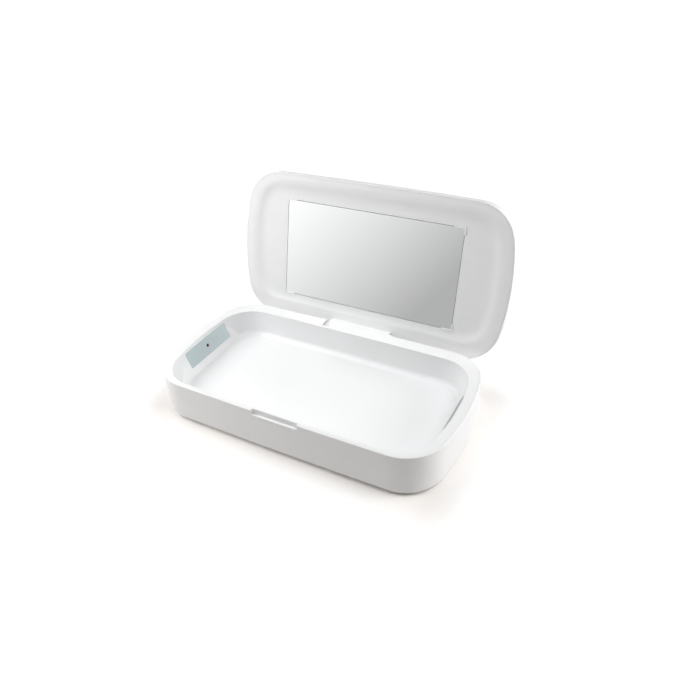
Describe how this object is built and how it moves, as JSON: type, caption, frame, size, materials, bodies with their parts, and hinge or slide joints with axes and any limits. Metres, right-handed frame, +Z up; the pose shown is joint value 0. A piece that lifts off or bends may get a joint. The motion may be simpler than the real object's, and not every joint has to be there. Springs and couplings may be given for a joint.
{
  "type": "uv sanitizer box for phones",
  "caption": "Low white box with bowed ends, a deep tray with an ultraviolet lamp window at each end, and a hinged lid with a flat mirror inside, shown open.",
  "frame": {"origin": "on the table, in the plane of the feet's soles, under the middle of the box as it stands open, 23.9 mm behind the middle of the base", "axes": "+X along the box to its right as seen from the front, -Y towards the front with the finger notch, +Y towards the hinge, +Z up"},
  "size_m": [0.2249, 0.1668, 0.1364],
  "materials": {
    "shell_white": "satin",
    "liner_white": "satin",
    "mirror_glass": "polished",
    "tape_grey": "matte",
    "plate_grey": "satin",
    "board_green": "satin",
    "led_ceramic": "satin",
    "clear_plastic": "gloss",
    "black_plastic": "matte",
    "steel": "satin",
    "nickel": "satin",
    "rubber_grey": "matte",
    "lead_white": "satin"
  },
  "bodies": {
    "base": {"base_magnets": "nickel", "base_screws": "steel", "base_shell": "shell_white", "board_parts": "black_plastic", "board_screws": "steel", "hinge_pin": "steel", "led_board_left": "board_green", "led_board_right": "board_green", "led_lead_left": "lead_white", "led_lead_right": "lead_white", "led_plate_left": "plate_grey", "led_plate_right": "plate_grey", "lid_sensor": "black_plastic", "light_pipe": "clear_plastic", "main_board": "board_green", "rubber_feet": "rubber_grey", "sensor_lead": "lead_white", "status_light": "led_ceramic", "switch_board": "board_green", "switch_lead": "lead_white", "tact_switch": "black_plastic", "tray_liner": "liner_white", "usb_socket": "steel", "uvc_led_left": "led_ceramic", "uvc_led_right": "led_ceramic"},
    "lid": {"lid_shell": "shell_white", "lid_liner": "liner_white", "mirror": "mirror_glass", "mirror_tape": "tape_grey", "mirror_clips": "shell_white", "lid_screws": "steel", "lid_magnets": "nickel", "sensor_magnet": "nickel"},
    "button": {"start_button": "shell_white", "switch_plunger": "black_plastic"}
  },
  "joints": [
    {"name": "lid_hinge", "type": "hinge", "parent": "base", "child": "lid", "pos_m": [0, 0.03439, 0.024], "axis": [1, 0, 0], "range_deg": [0, 103]},
    {"name": "start_button_press", "type": "slide", "parent": "base", "child": "button", "axis": [1, 0, 0], "range_m": [0, 0.0007], "stiffness_N_per_m": 800, "springref_m": -0.0006}
  ]
}
